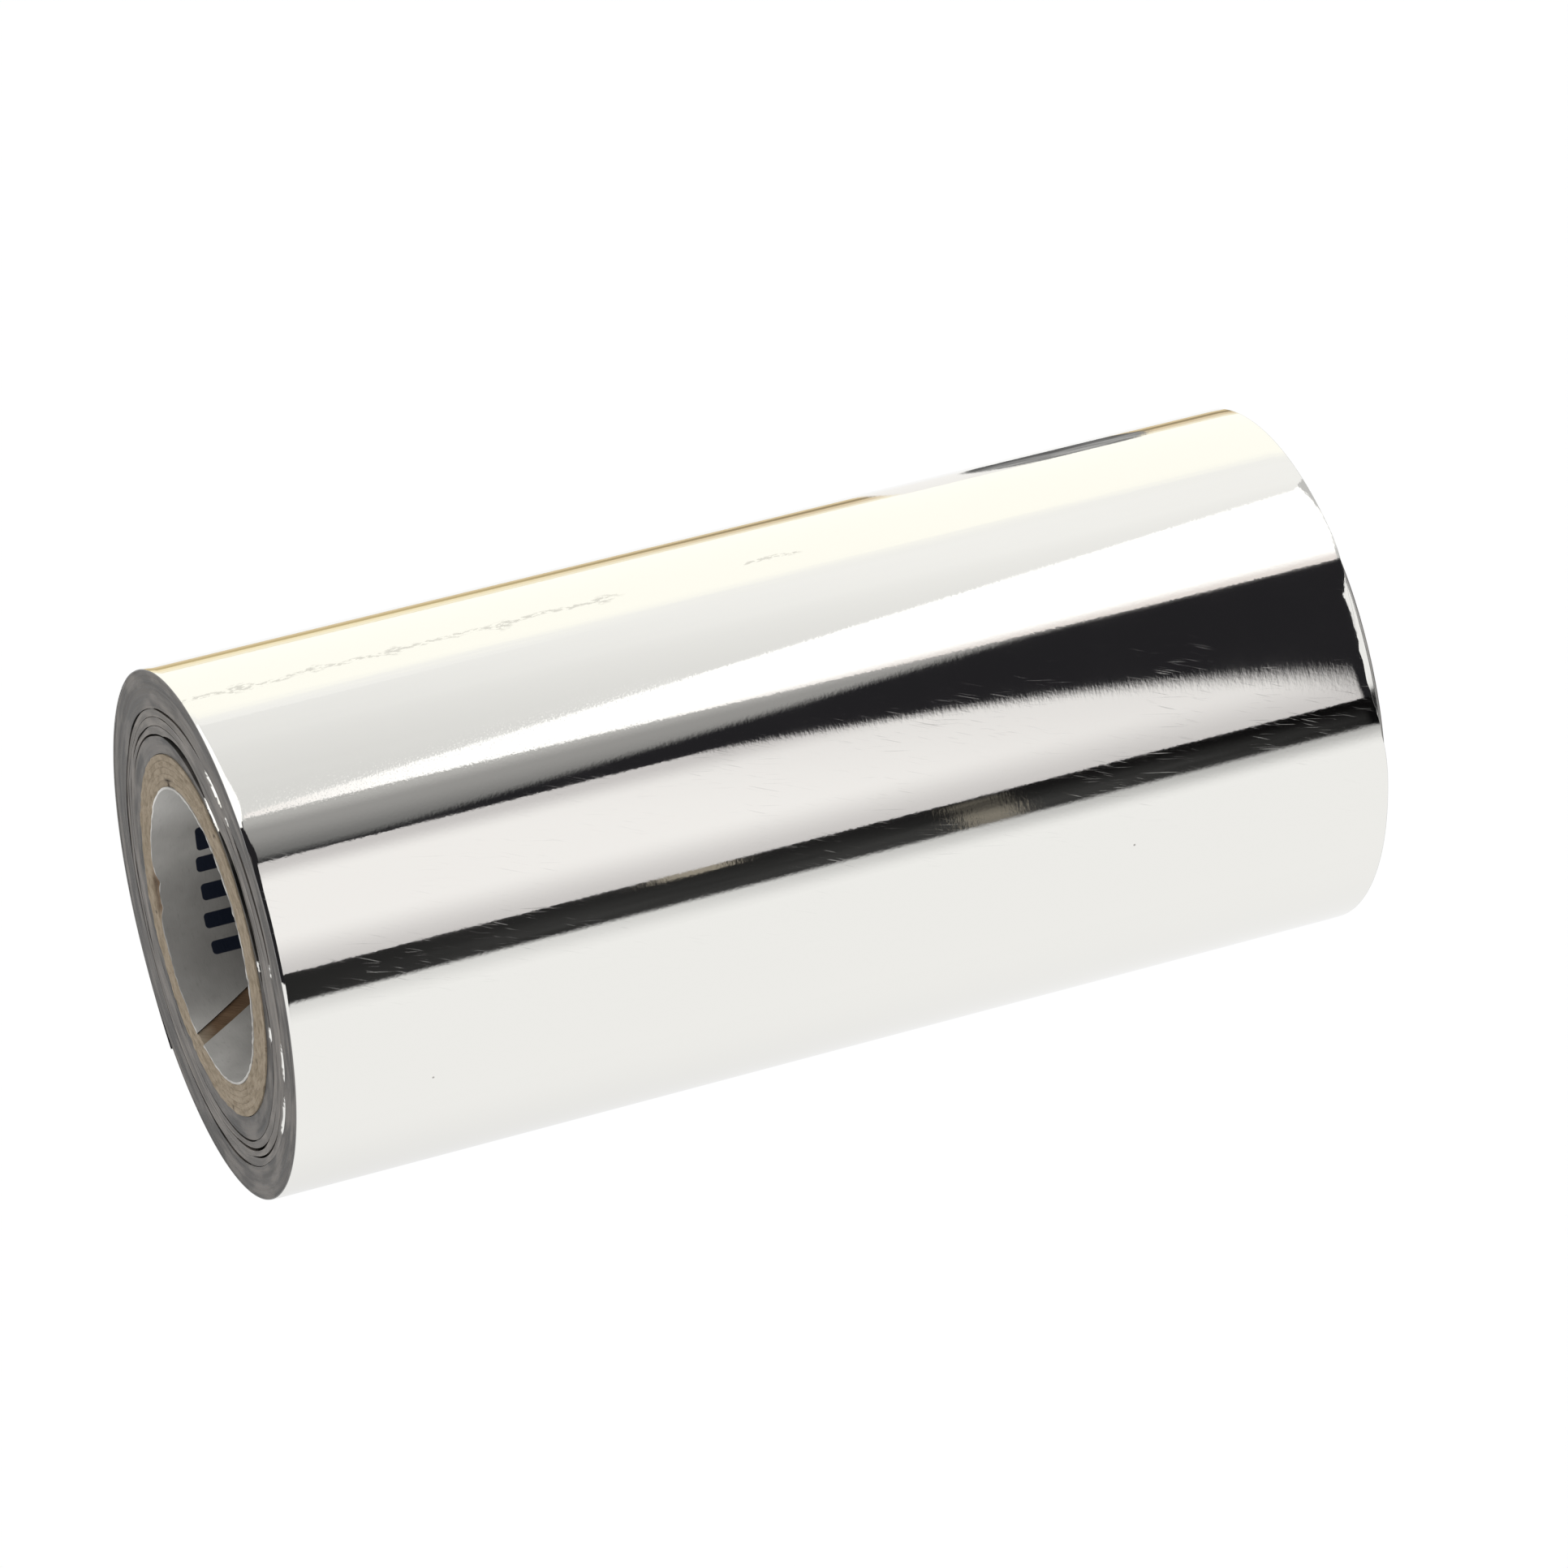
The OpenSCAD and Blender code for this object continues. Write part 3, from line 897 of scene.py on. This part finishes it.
def stripe_colour(p):
    """The floor behind the roll: a pale gold strip with a brown core, a plain gap, and a grey
    lens-shaped patch. steep is the slope at which the film sees a place, and film_x is where
    along the roll its reflection falls, seen from the camera."""
    x, y, _ = p.split(position(p))
    away = p.math("SUBTRACT", y, SEEN_FROM[0])
    steep = p.math("DIVIDE", SEEN_FROM[1], away)
    lean = p.times(away, SEEN_LEAN)
    spread = p.math("MULTIPLY_ADD", away, SEEN_SPREAD, 1.0)
    film_x = p.math("DIVIDE", p.math("SUBTRACT", x, lean), spread)
    right = p.between(film_x, -30, 10)
    brown = p.mix(right, (0.6, 0.48, 0.26), (0.38, 0.3, 0.18))
    middle = p.mix(right, (1.02, 0.9, 0.62), (0.8, 0.66, 0.45))
    gold = p.mix(p.between(steep, 0.26, 0.34), middle, (0.76, 0.62, 0.39))
    gold = p.mix(p.band(steep, 0.26, 0.315, 0.03), gold, brown)
    gold = p.mix(p.between(steep, 0.1, 0.2, 1.0, 0.0), gold, (1.18, 1.16, 1.08))
    gold = p.mix(p.band(steep, 0.125, 0.14, 0.01), gold, (1.0, 0.92, 0.68))
    gold = p.mix(p.band(film_x, 17, 27, 1.5), gold, (1.0, 0.985, 0.97))
    off_centre = p.math("DIVIDE", p.math("SUBTRACT", film_x, 33.5), 8.8)
    off_level = p.math("DIVIDE", p.math("SUBTRACT", steep, 0.28), 0.23)
    off = p.math("MULTIPLY_ADD", off_centre, off_centre, p.times(off_level, off_level))
    fine = p.node("CombineXYZ", {0: p.times(film_x, 0.25), 1: p.times(steep, 22.0)}).outputs[0]
    streak = p.between(p.noise(fine, 1.0, 2.0), 0.3, 0.7)
    pale = p.mix(streak, grey(0.24), grey(0.46))
    deep = p.mix(streak, grey(0.1), grey(0.18))
    patch = p.mix(p.between(steep, 0.2, 0.34), pale, deep)
    return p.mix(p.between(off, 0.75, 1.05, 1.0, 0.0), gold, patch)


def shade_colour(p):
    """The floor in the roll's own soft shade, which only reflections show."""
    x, y, _ = p.split(position(p))
    near = p.between(p.math("ABSOLUTE", y), 8, 30, 1.0, 0.0)
    return p.mix(near, grey(1.0), p.mix(p.between(x, -50, 40), grey(0.87), grey(0.94)))


def build_studio():
    """The cards round the roll, and a plain white world."""
    left, right, bottom, top = SOFTBOX
    card("floor", lying(-9000, 9000, -9000, 9000, FLOOR_Z), grey(1.0), 1.005, shown=True)
    card("front_softbox", standing(left, right, bottom, top, FRONT_Y), softbox_colour)
    card("front_strip", standing(left, 420, -16, bottom, FRONT_Y), strip_colour)
    card("right_flag", [(right, FRONT_Y, bottom), (185, FRONT_Y, bottom),
                        (300, FRONT_Y, CEILING_Z), (right, FRONT_Y, CEILING_Z)], BLACK)
    card("left_flag", standing(-330, left, 58, CEILING_Z, FRONT_Y), BLACK)
    card("top_flag", lying(-300, 330, FRONT_Y - 30, CEILING_FRONT, CEILING_Z), flag_colour)
    overhead = overhead_front() + [(CEILING_HALF, -125), (CEILING_HALF, 1145)]
    card("overhead_softbox", [(x, y, CEILING_Z - 5) for x, y in overhead], overhead_colour)
    card("ceiling", lying(-CEILING_HALF, CEILING_HALF, CEILING_FRONT, REAR_Y, CEILING_Z), ceiling_colour)
    card("rear_wall", standing(-CEILING_HALF, CEILING_HALF, FLOOR_Z, CEILING_Z, REAR_Y), rear_colour)
    card("gilt_strip", lying(-200, 260, 116, 460, FLOOR_Z + 0.2), stripe_colour)
    card("floor_shade", lying(-90, 90, -32, 32, FLOOR_Z + 0.04), shade_colour)
    world = bpy.data.worlds.new("studio_world")
    world.use_nodes = True
    world.node_tree.nodes["Background"].inputs["Color"].default_value = (1, 1, 1, 1)
    world.node_tree.nodes["Background"].inputs["Strength"].default_value = 1.0
    bpy.context.scene.world = world


CAMERA_AT = (-202.12, -485.9, 405.32)
LENS = 177.08  # mm
SHIFT = (0.0222, 0.0082)


def build_camera():
    """The camera, which looks at the middle of the roll."""
    data = bpy.data.cameras.new("camera")
    data.lens = LENS
    data.sensor_width = 36
    data.shift_x, data.shift_y = SHIFT
    data.clip_start, data.clip_end = 0.01, 50
    camera = bpy.data.objects.new("camera", data)
    camera.location = Vector(CAMERA_AT) * MM
    camera.rotation_mode = "QUATERNION"
    camera.rotation_quaternion = (-camera.location).to_track_quat("-Z", "Y")
    bpy.context.scene.collection.objects.link(camera)
    bpy.context.scene.camera = camera


# ---------------------------------------------------------------- build

mirror = mirror_film_material()
build_last_turn(mirror)
build_tail(mirror)
build_wound_film(wound_film_material())
build_liner(liner_paper_material())
build_board(core_board_material())

strip = frame["nodes"]["starter_strip"]
strip.data.materials.clear()
strip.data.materials.append(adhesive_strip_material())

build_studio()
build_camera()
bpy.context.scene.view_settings.view_transform = "Standard"
